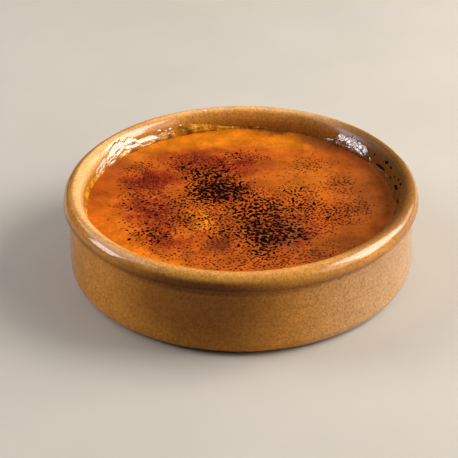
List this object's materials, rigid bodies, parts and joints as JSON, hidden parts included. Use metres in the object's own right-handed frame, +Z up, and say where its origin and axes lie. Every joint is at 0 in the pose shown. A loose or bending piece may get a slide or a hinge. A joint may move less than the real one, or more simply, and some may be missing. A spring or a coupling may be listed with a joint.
{
  "type": "crema catalana in a glazed dish",
  "caption": "Set custard with a burnt caramel crust and scattered dark flecks, filling a low round glazed stoneware dish with a rolled rim.",
  "frame": {"origin": "middle of the dish's foot ring, on the table", "axes": "+Z up through the middle of the dish; +X to the viewer's right and +Y away from the viewer"},
  "size_m": [0.13, 0.13, 0.033],
  "materials": {
    "glaze": "glossy honey glaze with fine brown speckle",
    "caramel": "glassy burnt sugar"
  },
  "bodies": {
    "root": {"dish": "glaze", "crema": "caramel"}
  },
  "joints": []
}
